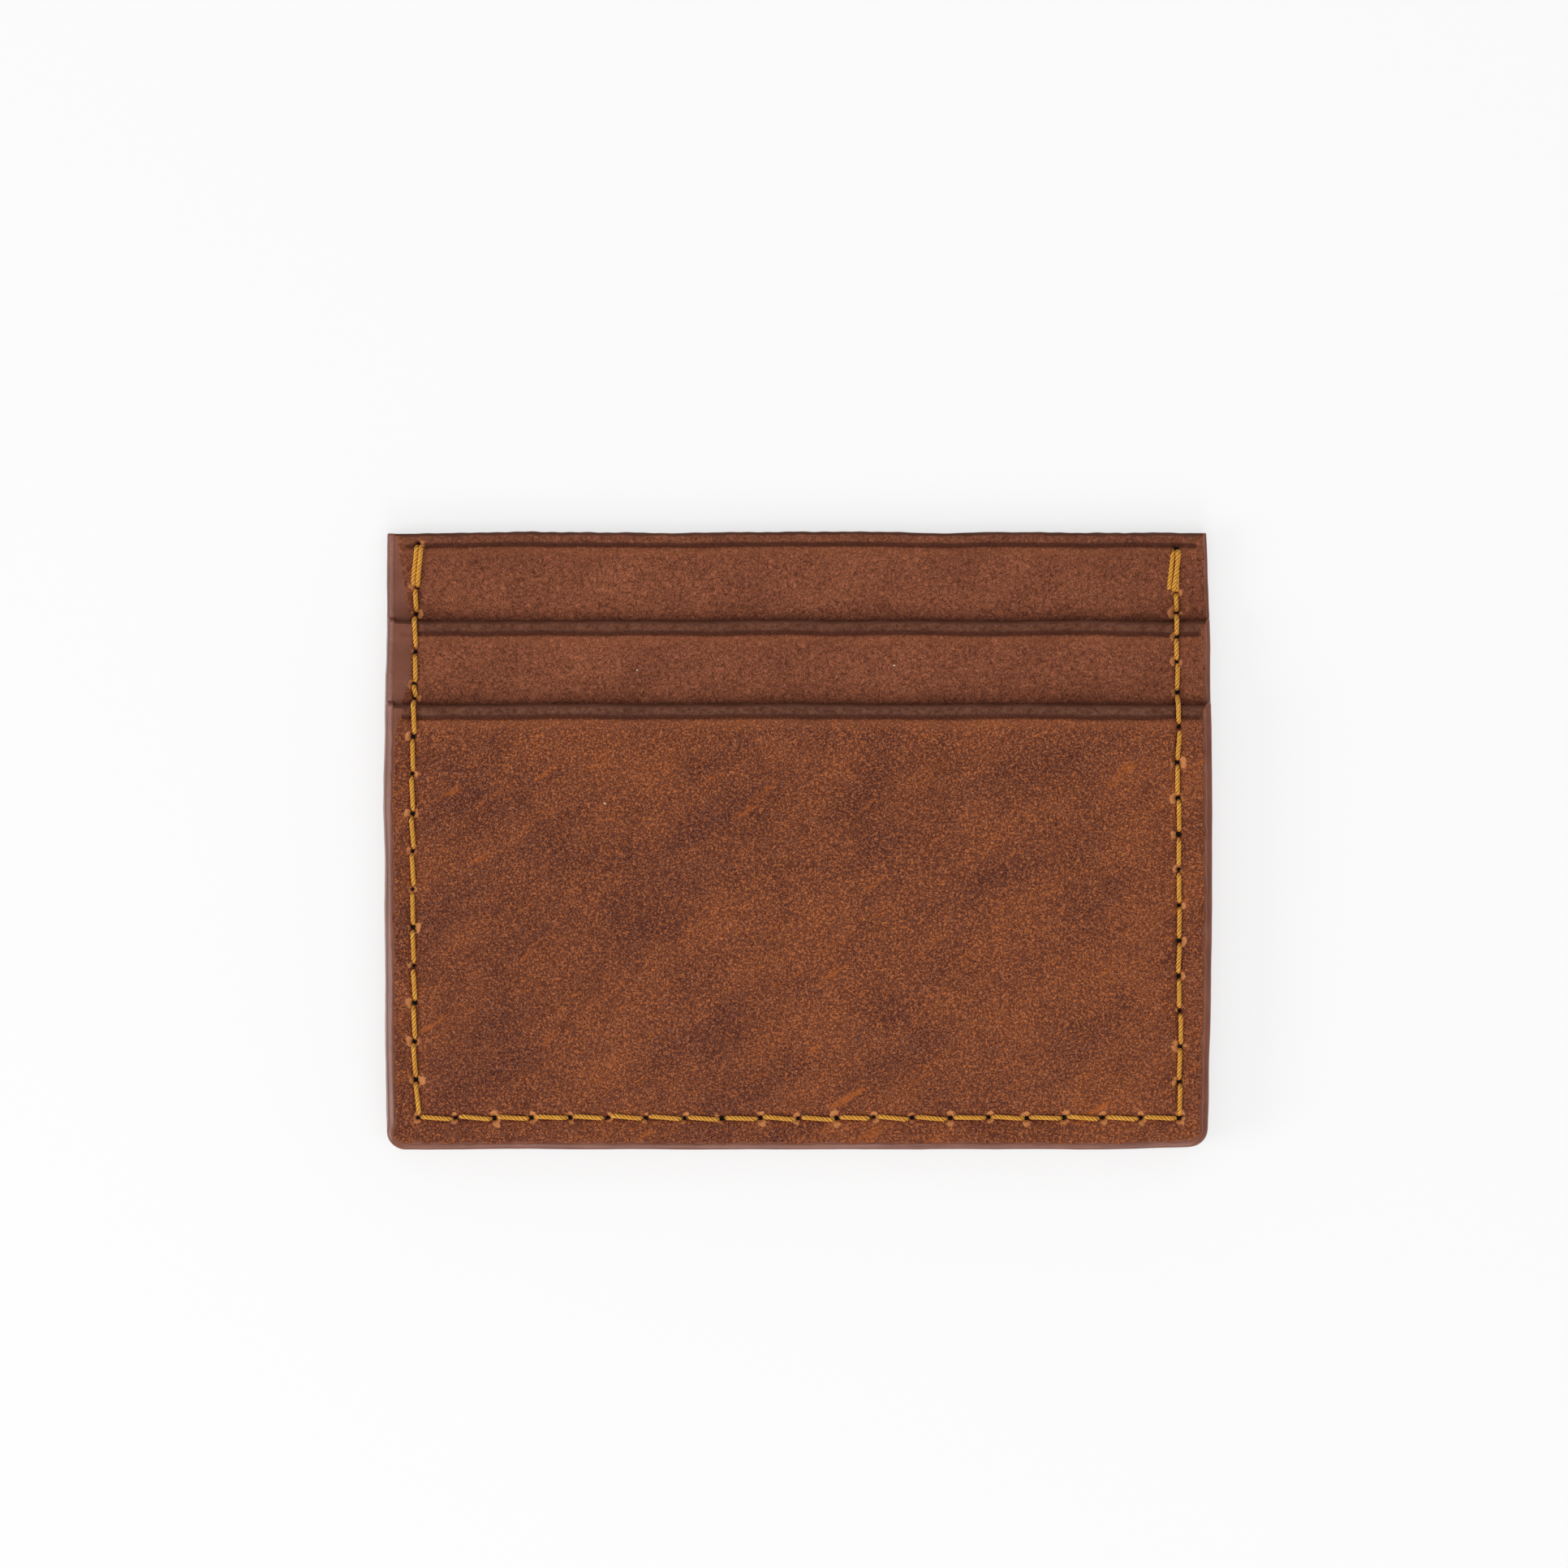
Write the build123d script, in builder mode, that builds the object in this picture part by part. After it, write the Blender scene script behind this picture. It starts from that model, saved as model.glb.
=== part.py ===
"""A slim leather card holder, lying on its back.

Two full-height leather panels make a centre pocket that opens at the top. Two shorter panels on the
front step down to make two card slots. Filler strips of bonded leather sit in the seam between one
panel and the next, and hold each slot open by one card's thickness. One lockstitch seam runs down the
left side, along the bottom and up the right side. It has a needle thread on the front and a bobbin
thread on the back. The rims are bevelled and carry a bead of edge paint.

X runs along the width and Y up towards the mouths. Z comes out of the front face. The origin is at
the middle of the back face. All sizes are in millimetres.
"""

import os

from build123d import *

# ---- Driving dimensions ----------------------------------------------------------------------------
holder_width = 100.0  # over the painted sides
holder_height = 74.6  # painted bottom edge to the centre pocket's mouth
upper_height = 63.9  # painted bottom edge to the upper pocket's mouth
pocket_height = 53.8  # painted bottom edge to the front pocket's mouth
bottom_corner = 2.4  # radius of the two bottom corners

card_width, card_height, card_thickness = 85.6, 53.98, 0.76  # an ID-1 bank card
slot_clearance = 0.06  # room over the card's thickness in each slot
card_show = 4.4  # how far a seated card stands out of its mouth

back_thickness = 0.9
front_thickness = 0.8
upper_thickness = 0.7
pocket_thickness = 0.9

filler_width = 5.4  # width of the filler strips in the side seams
filler_fit = 0.02  # play between a filler strip and the leather either side of it

paint_thickness = 0.3  # edge paint outside the leather
paint_round = 0.6  # radius of the paint's outer rims
bevel_width, bevel_depth = 1.0, 0.4  # bevel on the leather's rims, under the paint
mouth_paint = 0.12  # edge paint on the cut edge of each mouth

crease_drop = 1.45  # mouth edge down to its crease line
crease_depth = 0.2
crease_end = 1.6  # crease stops this far from the painted sides

thread_radius = 0.25
thread_gap = 0.02  # play round the thread
hole_width = 0.58  # a pricked hole is a short slot along the seam
round_hole_radius = 0.6  # punched at the corners and under the doubled stitches
groove_width = 0.72  # the channel that the stitches pull down into the leather
groove_depth = 0.25
lock_groove_width = 1.2
left_inset, right_inset = 3.8, 4.4  # painted side to the seam
bottom_inset = 3.8  # painted bottom edge to the seam
stitch_bend = 0.3  # radius at which a stitch turns down into its holes

# Heights of the side seams' first holes above the painted bottom edge, from the top down. Each mouth has
# a hole just above it, so that a stitch crosses its lip. Equal stitches run from the last to the corner.
left_heights, left_count = (73.1, 68.0, 64.7, 60.1, 56.2, 54.5), 11
right_heights, right_count = (72.5, 67.3, 64.9, 61.9, 59.0, 55.3), 12
bottom_count = 20

# ---- Worked out from the above ---------------------------------------------------------------------
slot = card_thickness + slot_clearance
bottom_y = -holder_height / 2
holder_top = bottom_y + holder_height
upper_mouth = bottom_y + upper_height
pocket_mouth = bottom_y + pocket_height

back_top = back_thickness
front_base = back_top + slot
front_top = front_base + front_thickness
upper_base = front_top + slot
upper_top = upper_base + upper_thickness
pocket_base = upper_top + slot
pocket_top = pocket_base + pocket_thickness

left_x = left_inset - holder_width / 2
right_x = holder_width / 2 - right_inset
seam_y = bottom_y + bottom_inset
leg_gap = thread_radius + thread_gap  # half-way from one leg of thread to the next, within a hole
corner_gap = leg_gap * 2**0.5  # corner to a leg, where the seam turns


# ---- Shared shapes ---------------------------------------------------------------------------------
def outline(mouth_y, z, inset):
    """A panel's outline at height z: square corners at its mouth, rounded ones at the bottom."""
    with BuildSketch(Plane.XY.offset(z)) as panel:
        with Locations((0, bottom_y + inset)):
            Rectangle(
                holder_width - 2 * inset,
                mouth_y - bottom_y - inset,
                align=(Align.CENTER, Align.MIN),
            )
        fillet(panel.vertices().group_by(Axis.Y)[0], bottom_corner - inset)
    return panel.sketch


def rims(block, face):
    """The edges round a face, without the one along the mouth."""
    return face.edges().sort_by(Axis.Y)[:-1]


def painted_tier(mouth_y, top):
    """One step of the whole holder with its paint on: its rims are rounded."""
    with BuildPart() as tier:
        extrude(outline(mouth_y, 0, 0), amount=top)
        top_face = tier.faces().sort_by(Axis.Z)[-1]
        back_face = tier.faces().sort_by(Axis.Z)[0]
        fillet(rims(tier, top_face) + rims(tier, back_face), paint_round)
    return tier.part


def leather_tier(mouth_y, top):
    """One step of the bare leather stack: its rims are bevelled."""
    with BuildPart() as tier:
        extrude(outline(mouth_y, 0, paint_thickness), amount=top)
        for side in (-1, 0):
            face = tier.faces().sort_by(Axis.Z)[side]
            chamfer(rims(tier, face), bevel_width, bevel_depth, reference=face)
    return tier.part


def stack(tier):
    """The three steps together: the full-height panels, the upper pocket and the front pocket."""
    with BuildPart() as whole:
        add(tier(holder_top, front_top))
        add(tier(upper_mouth, upper_top))
        add(tier(pocket_mouth, pocket_top))
    return whole.part


def crease(mouth_y, top):
    """A V-shaped line pressed across a panel, just below its mouth."""
    side = crease_depth * 2**0.5
    with BuildPart() as line:
        with BuildSketch(Plane.YZ):
            with Locations((mouth_y - crease_drop, top)):
                Rectangle(side, side, rotation=45)
        extrude(amount=holder_width / 2 - crease_end, both=True)
    return line.part


def channel(width, low_y, high_y, z):
    """The part of the seam's channel between two heights, as a sketch at height z."""
    with BuildSketch(Plane.XY.offset(z)) as groove:
        with BuildLine():
            Polyline(
                (left_x, high_y), (left_x, seam_y), (right_x, seam_y), (right_x, high_y)
            )
        trace(line_width=width)
        with Locations((0, low_y)):
            Rectangle(
                holder_width,
                high_y - low_y,
                align=(Align.CENTER, Align.MIN),
                mode=Mode.INTERSECT,
            )
    return groove.sketch


# ---- The seam's holes ------------------------------------------------------------------------------
def side_holes(x, heights, count):
    """Hole centres of one side seam, from the top down to the last one before the corner."""
    pitch = (heights[-1] - bottom_inset) / count
    return [(x, bottom_y + height) for height in heights] + [
        (x, bottom_y + heights[-1] - pitch * i) for i in range(1, count)
    ]


left_holes = side_holes(left_x, left_heights, left_count)
right_holes = side_holes(right_x, right_heights, right_count)
bottom_pitch = (right_x - left_x) / bottom_count
bottom_holes = [(left_x + bottom_pitch * i, seam_y) for i in range(1, bottom_count)]

# Each corner has a round hole a little inside the turn.
corner_holes = [
    (left_x + corner_gap / 2, seam_y + corner_gap / 2),
    (right_x - corner_gap / 2, seam_y + corner_gap / 2),
]
lock_holes = left_holes[:2] + right_holes[:2]


def surface_at(y):
    """Height of the front face at y."""
    if y > upper_mouth:
        return front_top
    return upper_top if y > pocket_mouth else pocket_top


def punch(mouth_y, low_z, high_z):
    """Every seam hole in a layer that has this mouth, as pegs from low_z to high_z."""

    def inside(holes):
        return [hole for hole in holes if hole[1] < mouth_y]

    with BuildPart() as pegs:
        with BuildSketch(Plane.XY.offset(low_z)):
            with Locations(*inside(corner_holes + lock_holes)):
                Circle(round_hole_radius)
            with Locations(*bottom_holes):
                SlotCenterToCenter(2 * leg_gap, hole_width)
            with Locations(*inside(left_holes[2:] + right_holes[2:])):
                SlotCenterToCenter(2 * leg_gap, hole_width, rotation=90)
        extrude(amount=high_z - low_z)
    return pegs.part


# ---- Leather panels --------------------------------------------------------------------------------
leather_stack = stack(leather_tier)


def leather_panel(mouth_y, base, top):
    """A flat leather panel with its rims bevelled and its seam holes punched."""
    with BuildPart() as panel:
        extrude(outline(mouth_y - mouth_paint, base, paint_thickness), amount=top - base)
        add(leather_stack, mode=Mode.INTERSECT)
        add(punch(mouth_y, base, top), mode=Mode.SUBTRACT)
    return panel.part


with BuildPart() as back_panel:
    add(leather_panel(holder_top, 0, back_top))
    extrude(
        channel(groove_width, bottom_y, left_holes[0][1], 0),
        amount=2 * leg_gap,
        mode=Mode.SUBTRACT,
    )
    extrude(
        channel(lock_groove_width, upper_mouth, left_holes[0][1], 0),
        amount=2 * leg_gap,
        mode=Mode.SUBTRACT,
    )
back_panel.part.label = "back_panel"

with BuildPart() as front_panel:
    add(leather_panel(holder_top, front_base, front_top))
    add(crease(holder_top, front_top), mode=Mode.SUBTRACT)
    extrude(
        channel(lock_groove_width, upper_mouth, left_holes[0][1], front_top - groove_depth),
        amount=groove_depth,
        mode=Mode.SUBTRACT,
    )
front_panel.part.label = "front_panel"

with BuildPart() as upper_pocket:
    add(leather_panel(upper_mouth, upper_base, upper_top))
    add(crease(upper_mouth, upper_top), mode=Mode.SUBTRACT)
    extrude(
        channel(groove_width, pocket_mouth, upper_mouth, upper_top - groove_depth),
        amount=groove_depth,
        mode=Mode.SUBTRACT,
    )
upper_pocket.part.label = "upper_pocket"

with BuildPart() as front_pocket:
    add(leather_panel(pocket_mouth, pocket_base, pocket_top))
    add(crease(pocket_mouth, pocket_top), mode=Mode.SUBTRACT)
    extrude(
        channel(groove_width, bottom_y, pocket_mouth, pocket_top - groove_depth),
        amount=groove_depth,
        mode=Mode.SUBTRACT,
    )
front_pocket.part.label = "front_pocket"


# ---- Filler strips ---------------------------------------------------------------------------------
# In each slot one strip runs down each side seam and one along the bottom. The bottom strip's top
# edge is the floor that a card stands on.
def side_filler(sign, mouth_y, base, top):
    """The strip in one side seam, from the floor up to the mouth of the panel in front of it."""
    with BuildPart() as strip:
        extrude(
            outline(mouth_y, base + filler_fit, paint_thickness + filler_fit),
            amount=top - base - 2 * filler_fit,
        )
        inner_x = holder_width / 2 - paint_thickness - filler_width
        with BuildSketch(Plane.XY.offset(base)):
            with Locations((sign * inner_x, 0)):
                Rectangle(
                    filler_width + paint_thickness,
                    2 * holder_height,
                    align=(Align.MIN if sign > 0 else Align.MAX, Align.CENTER),
                )
        extrude(amount=top - base, mode=Mode.INTERSECT)
        add(punch(mouth_y, base, top), mode=Mode.SUBTRACT)
    return strip.part


def bottom_filler(floor_y, base, top):
    """The strip along the bottom seam, between the two side strips and up to the floor."""
    width = holder_width - 2 * (paint_thickness + filler_width + filler_fit)
    low_y = bottom_y + paint_thickness + filler_fit
    with BuildPart() as strip:
        with BuildSketch(Plane.XY.offset(base + filler_fit)):
            with Locations((0, low_y)):
                Rectangle(width, floor_y - low_y, align=(Align.CENTER, Align.MIN))
        extrude(amount=top - base - 2 * filler_fit)
        add(punch(floor_y, base, top), mode=Mode.SUBTRACT)
    return strip.part


# Each slot: its name, the mouth of the panel in front, that panel's underside, and what lies behind.
slots = {
    "centre": (holder_top, back_top, front_base),
    "upper": (upper_mouth, front_top, upper_base),
    "lower": (pocket_mouth, upper_top, pocket_base),
}
fillers = {}
for name, (mouth_y, base, top) in slots.items():
    floor_y = mouth_y - card_height + card_show
    if name == "centre":
        floor_y = bottom_y + paint_thickness + filler_width
    fillers[f"{name}_filler_left"] = side_filler(-1, mouth_y, base, top)
    fillers[f"{name}_filler_right"] = side_filler(1, mouth_y, base, top)
    fillers[f"{name}_filler_bottom"] = bottom_filler(floor_y, base, top)


# ---- Thread ----------------------------------------------------------------------------------------
# Each thread is one length. It runs along the leather from hole to hole, and in each hole it turns
# down to the middle of the leather and back up. A leg is where it passes through the surface.
def lock_legs(holes, inward):
    """The legs of a side's doubled first stitch: up its outer strand, back down its inner one.

    The three legs in the second hole stand in a triangle."""
    (x, top), (_, low) = holes[:2]
    outer = x - inward * leg_gap
    inner = x + inward * leg_gap
    rise = leg_gap * 3**0.5
    return [
        (outer, low + rise / 3),
        (outer, top),
        (inner, top),
        (inner, low + rise / 3),
        (x, low - rise * 2 / 3),
    ]


def plain_legs(holes, step_x, step_y):
    """Two legs in each hole, one behind the other along the way the seam is going."""
    legs = []
    for x, y in holes:
        legs += [
            (x - step_x * leg_gap, y - step_y * leg_gap),
            (x + step_x * leg_gap, y + step_y * leg_gap),
        ]
    return legs


seam_legs = (
    lock_legs(left_holes, 1)
    + plain_legs(left_holes[2:], 0, -1)
    + [(left_x, seam_y + corner_gap), (left_x + corner_gap, seam_y)]
    + plain_legs(bottom_holes, 1, 0)
    + [(right_x - corner_gap, seam_y), (right_x, seam_y + corner_gap)]
    + plain_legs(right_holes[:1:-1], 0, 1)
    + lock_legs(right_holes, -1)[::-1]
)


def seam_thread(run_height, turn_height):
    """One thread along the whole seam, from the heights of its runs and of its turns in the holes."""
    points, bends = [], []
    for start, end in zip(seam_legs[::2], seam_legs[1::2]):
        run_z = run_height(start, end)
        points += [
            (*start, turn_height(start)),
            (*start, run_z),
            (*end, run_z),
            (*end, turn_height(end)),
        ]
        bends += [0, stitch_bend, stitch_bend, 0]
    with BuildPart() as thread:
        with BuildLine() as path:
            FilletPolyline(*points, radius=bends[1:-1])
        with BuildSketch(Plane(path.wires()[0] @ 0, z_dir=path.wires()[0] % 0)):
            Circle(thread_radius)
        sweep(transition=Transition.RIGHT)
    return thread.part


def needle_run(start, end):
    """A stitch that crosses a lip runs at the height of the higher panel."""
    surface = max(surface_at(start[1]), surface_at(end[1]))
    return surface - groove_depth + leg_gap


def needle_turn(leg):
    """The two threads turn back just short of each other, half-way through the leather."""
    return surface_at(leg[1]) / 2 + leg_gap


needle_thread = seam_thread(needle_run, needle_turn)
needle_thread.label = "needle_thread"
bobbin_thread = seam_thread(
    lambda start, end: leg_gap, lambda leg: needle_turn(leg) - 2 * leg_gap
)
bobbin_thread.label = "bobbin_thread"


# ---- Edge paint ------------------------------------------------------------------------------------
with BuildPart() as edge_paint:
    add(stack(painted_tier))
    add(leather_stack, mode=Mode.SUBTRACT)
edge_paint.part.label = "edge_paint"


def mouth_bead(mouth_y, base, top):
    """The paint on the cut edge of one mouth. The seam's channel runs out through it."""
    with BuildPart() as bead:
        extrude(outline(mouth_y, base, paint_thickness), amount=top - base)
        add(leather_stack, mode=Mode.INTERSECT)
        split(bisect_by=Plane.XZ.offset(mouth_paint - mouth_y), keep=Keep.BOTTOM)
        if mouth_y < holder_top:
            extrude(
                channel(groove_width, pocket_mouth - mouth_paint, mouth_y, top - groove_depth),
                amount=groove_depth,
                mode=Mode.SUBTRACT,
            )
    return bead.part


mouth_beads = {
    "back_mouth_paint": mouth_bead(holder_top, 0, back_top),
    "front_mouth_paint": mouth_bead(holder_top, front_base, front_top),
    "upper_mouth_paint": mouth_bead(upper_mouth, upper_base, upper_top),
    "pocket_mouth_paint": mouth_bead(pocket_mouth, pocket_base, pocket_top),
}

# ---- Output ----------------------------------------------------------------------------------------
os.makedirs("parts", exist_ok=True)
for piece in (
    back_panel.part,
    front_panel.part,
    upper_pocket.part,
    front_pocket.part,
    needle_thread,
    bobbin_thread,
    edge_paint.part,
):
    export_step(piece, f"parts/{piece.label}.step")
for label, piece in (fillers | mouth_beads).items():
    piece.label = label
    export_step(piece, f"parts/{label}.step")
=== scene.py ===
"""Looks for a slim leather card holder, built round its CAD frame.

The leather panels, the twisted threads, the edge paint and the filler strips are all built here as
meshes. Lengths are in millimetres until a mesh is made; Blender's own unit is the metre.
"""

import math
from functools import partial, reduce

import bpy
import numpy as np
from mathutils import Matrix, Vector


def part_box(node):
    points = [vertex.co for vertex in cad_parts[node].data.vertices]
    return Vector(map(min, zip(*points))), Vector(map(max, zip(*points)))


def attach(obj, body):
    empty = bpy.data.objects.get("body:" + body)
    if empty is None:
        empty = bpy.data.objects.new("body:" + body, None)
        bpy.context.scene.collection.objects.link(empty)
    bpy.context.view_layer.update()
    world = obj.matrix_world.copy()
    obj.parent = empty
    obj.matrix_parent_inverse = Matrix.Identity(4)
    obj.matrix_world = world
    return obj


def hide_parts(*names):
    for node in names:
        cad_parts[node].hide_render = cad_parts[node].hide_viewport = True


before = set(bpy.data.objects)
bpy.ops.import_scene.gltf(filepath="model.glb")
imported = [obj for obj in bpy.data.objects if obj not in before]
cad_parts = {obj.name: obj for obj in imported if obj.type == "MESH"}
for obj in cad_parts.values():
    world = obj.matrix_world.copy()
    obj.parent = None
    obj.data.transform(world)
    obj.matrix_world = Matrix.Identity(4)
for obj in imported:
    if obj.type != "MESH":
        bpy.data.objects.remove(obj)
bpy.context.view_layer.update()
MM = 0.001
LIP_PAINT = 0.12  # paint on a mouth's cut edge


def cad_box(node):
    """A CAD node's lowest and highest corners, in millimetres."""
    low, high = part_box(node)
    return np.array(low) / MM, np.array(high) / MM


# ---- Sizes taken from the frame ----
paint_low, paint_high = cad_box("edge_paint")
HALF_WIDTH = paint_high[0]
BOTTOM = paint_low[1]
TOP = paint_high[1]
LAYERS = {}  # name: (underside, front face, mouth)
for layer in ("back_panel", "front_panel", "upper_pocket", "front_pocket"):
    low, high = cad_box(layer)
    LAYERS[layer] = (low[2], high[2], high[1] + LIP_PAINT)
UPPER_MOUTH = LAYERS["upper_pocket"][2]
POCKET_MOUTH = LAYERS["front_pocket"][2]
PAINT = 0.3  # paint outside the leather
CORNER = 2.4  # radius of the two bottom corners
CREASE_DROP = 1.5  # mouth edge down to its crease

# The seam's holes: the uneven ones' heights above the bottom edge, from the top down, and how many
# even stitches follow them. The bottom row is 0.2 mm higher than in the CAD, as the photo has it.
thread_low, thread_high = cad_box("needle_thread")
SEAM_IN_BOX = 0.52  # outer side of the CAD thread to the line of its holes
LEFT_X = thread_low[0] + SEAM_IN_BOX
RIGHT_X = thread_high[0] - SEAM_IN_BOX
SEAM_INSET = 4.0  # bottom edge to its row of holes
SEAM_Y = BOTTOM + SEAM_INSET
LEFT_HEIGHTS, LEFT_COUNT = (73.1, 68.0, 64.7, 60.1, 56.2, 54.5), 11
RIGHT_HEIGHTS, RIGHT_COUNT = (72.5, 67.3, 64.9, 61.9, 59.0, 55.3), 12
BOTTOM_COUNT = 20


# ---- Unevenness ----
def ripple(points, seed, longest, shortest, count=16):
    """A smooth uneven field over rows of coordinates, of about -1 to 1, from waves of the longest to
    the shortest length."""
    rng = np.random.default_rng(seed)
    points = np.atleast_2d(points)
    total = np.zeros(len(points))
    for _ in range(count):
        length = longest * (shortest / longest) ** rng.random()
        direction = rng.normal(size=points.shape[1])
        direction /= np.linalg.norm(direction)
        total += np.sin(points @ direction * 2 * math.pi / length + rng.random() * 2 * math.pi)
    return total / math.sqrt(count) * 0.8


def ripple_1d(values, seed, longest, shortest):
    return ripple(np.asarray(values, float).reshape(-1, 1), seed, longest, shortest, 10)


def smooth(value, low, high):
    """0 below low, 1 above high, eased between."""
    t = np.clip((value - low) / (high - low), 0, 1)
    return t * t * (3 - 2 * t)


def unit(rows):
    """Rows scaled to a length of 1."""
    return rows / np.linalg.norm(rows, axis=1, keepdims=True)


def run_length(line):
    """Distance along a line of points at each of them."""
    return np.concatenate(([0], np.cumsum(np.linalg.norm(np.diff(line, axis=0), axis=1))))


def quarter_round(t):
    """The drop of a rounded edge of radius 1: 0 at t = 0, and 1 at t = 1."""
    return 1 - np.sqrt(1 - t * t)


# ---- Outline ----
LEFT_BARREL, RIGHT_BARREL = 0.4, 0.7  # how far a side comes in at its ends
SIDE_WANDER = 0.07  # unevenness of the hand-cut edges
BOTTOM_RISE = 0.3  # the bottom edge climbs towards its right end


def left_edge(y):
    """Outer left side of the painted holder: a little barrelled, and cut by hand."""
    return -HALF_WIDTH + LEFT_BARREL * (y / TOP) ** 2 + SIDE_WANDER * ripple_1d(y, 11, 40, 9)


def right_edge(y):
    return HALF_WIDTH - RIGHT_BARREL * np.abs(y / TOP) ** 2.2 + 0.06 * ripple_1d(y, 12, 40, 9)


def bottom_edge(x):
    return BOTTOM + 0.06 + 0.05 * ripple_1d(x, 13, 60, 12) + BOTTOM_RISE * smooth(x, 35, HALF_WIDTH)


def mouth_edge(x, mouth):
    """The cut edge of a mouth, which droops a little towards both ends."""
    seed = 20 + int(mouth)
    droop = 0.04 + 0.12 * (x / HALF_WIDTH) ** 2
    wander = SIDE_WANDER * ripple_1d(x, seed, 70, 14) + 0.01 * ripple_1d(x, seed + 1, 9, 3)
    return mouth - droop + wander


def rim_distance(x, y):
    """How far inside the outer outline a point lies. The mouths don't count as outline."""
    left = x - left_edge(y)
    right = right_edge(y) - x
    side = np.minimum(left, right)
    low = y - bottom_edge(x)
    corner = (side < CORNER) & (low < CORNER)
    rounded = CORNER - np.hypot(CORNER - side, CORNER - low)
    return np.where(corner, rounded, np.minimum(side, low))


# Heights y at which the rim changes, mostly at the mouths, and the paint's lap and rounding there.
LEFT_LAP_Y = (-34, 6, 13.5, 15.9, 16.6, 17.6, 19.5, 25.8, 26.8, 36.5)
LEFT_LAP = (1.25, 1.3, 1.6, 2.3, 2.2, 2.4, 3.1, 3.2, 2.8, 1.3)
RIGHT_Y = (-34, 15.8, 16.8, 26.2, 27.0, 37)
RIGHT_LAP = (1.15, 1.2, 0.95, 0.9, 0.25, 0.2)
RIGHT_ROUND = (1.1, 1.1, 0.8, 0.75, 0.4, 0.35)
LEFT_ROUND = 1.25
BOTTOM_ROUND = 0.95  # both the lap and the rounding along the bottom
LEFT_LEAN, RIGHT_LEAN, BOTTOM_LEAN = 0.3, 0.16, 0.12


def to_bottom(y, side, bottom):
    """A side's value, changing to the bottom edge's over the last few millimetres."""
    return bottom + (side - bottom) * smooth(y - BOTTOM, 1.5, 4)


def rim_lap(x, y):
    """How far the edge paint reaches in over the front face, at the nearest rim."""
    side = np.where(x < 0, np.interp(y, LEFT_LAP_Y, LEFT_LAP), np.interp(y, RIGHT_Y, RIGHT_LAP))
    return to_bottom(y, side, BOTTOM_ROUND) + 0.12 * ripple(np.column_stack((x, y)), 14, 5, 1.2)


def rim_radius(x, y):
    """Width of the rounding at the rim, seen from the front."""
    return to_bottom(y, np.where(x < 0, LEFT_ROUND, np.interp(y, RIGHT_Y, RIGHT_ROUND)), BOTTOM_ROUND)


def rim_lean(x, y):
    """How far the sides slope in from the outline on their way up to the front face. The stack is
    thinner above each mouth."""
    steps = (POCKET_MOUTH - 0.2, POCKET_MOUTH + 0.5, UPPER_MOUTH - 0.2, UPPER_MOUTH + 0.5)
    thickness = np.interp(y, steps, (1, 0.65, 0.65, 0.2))
    return to_bottom(y, np.where(x < 0, LEFT_LEAN, RIGHT_LEAN) * thickness, BOTTOM_LEAN)


def rim_drop(x, y, rim):
    """How far the rounded rim lies below the flat face, at a distance rim in from the outline."""
    radius = rim_radius(x, y)
    t = np.clip(1 - (rim - rim_lean(x, y)) / radius, 0, 1)
    return 0.6 * radius * quarter_round(t)


# ---- The seam ----
def side_heights(heights, count):
    pitch = (heights[-1] - SEAM_INSET) / count
    return np.array(list(heights) + [heights[-1] - pitch * i for i in range(1, count + 1)]) + BOTTOM


def left_seam(y):
    """The left seam bows out towards the side between its two ends."""
    middle, half_length = 2, 35
    return LEFT_X - 0.22 + 0.6 * ((y - middle) / half_length) ** 2


def right_seam(y):
    return RIGHT_X + 0.1 + 0.12 * smooth(-y, -30, 20)


left_y = side_heights(LEFT_HEIGHTS, LEFT_COUNT)
right_y = side_heights(RIGHT_HEIGHTS, RIGHT_COUNT)
left_holes = np.column_stack((left_seam(left_y), left_y))
right_holes = np.column_stack((right_seam(right_y), right_y))
bottom_x = np.linspace(left_holes[-1, 0], right_holes[-1, 0], BOTTOM_COUNT + 1)
bottom_holes = np.column_stack((bottom_x, SEAM_Y + 0.05 * ripple_1d(bottom_x, 31, 50, 10)))
bottom_holes[0], bottom_holes[-1] = left_holes[-1], right_holes[-1]
HOLE_JITTER = 0.06
hole_rng = np.random.default_rng(5)
for run in (left_holes, right_holes, bottom_holes):
    run[1:-1] += hole_rng.normal(0, HOLE_JITTER, (len(run) - 2, 2))
HOLES = np.vstack((left_holes, bottom_holes[1:-1], right_holes))
wear_rng = np.random.default_rng(6)
HOLE_SIZE = 0.75 + 0.45 * wear_rng.random(len(HOLES))
# How much each hole's surround is worn. The sign says on which side.
HOLE_WEAR = (0.35 + 0.65 * wear_rng.random(len(HOLES))) * wear_rng.choice((-1, 1), len(HOLES))
SEAM_LINE = np.vstack((left_holes, bottom_holes[1:-1], right_holes[::-1]))


def seam_distance(x, y):
    """Distance to the line of the seam."""
    best = np.full(len(x), 1e9)
    for (x0, y0), (x1, y1) in zip(SEAM_LINE, SEAM_LINE[1:]):
        dx, dy = x1 - x0, y1 - y0
        t = np.clip(((x - x0) * dx + (y - y0) * dy) / (dx * dx + dy * dy), 0, 1)
        best = np.minimum(best, np.hypot(x - x0 - t * dx, y - y0 - t * dy))
    return best


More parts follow.
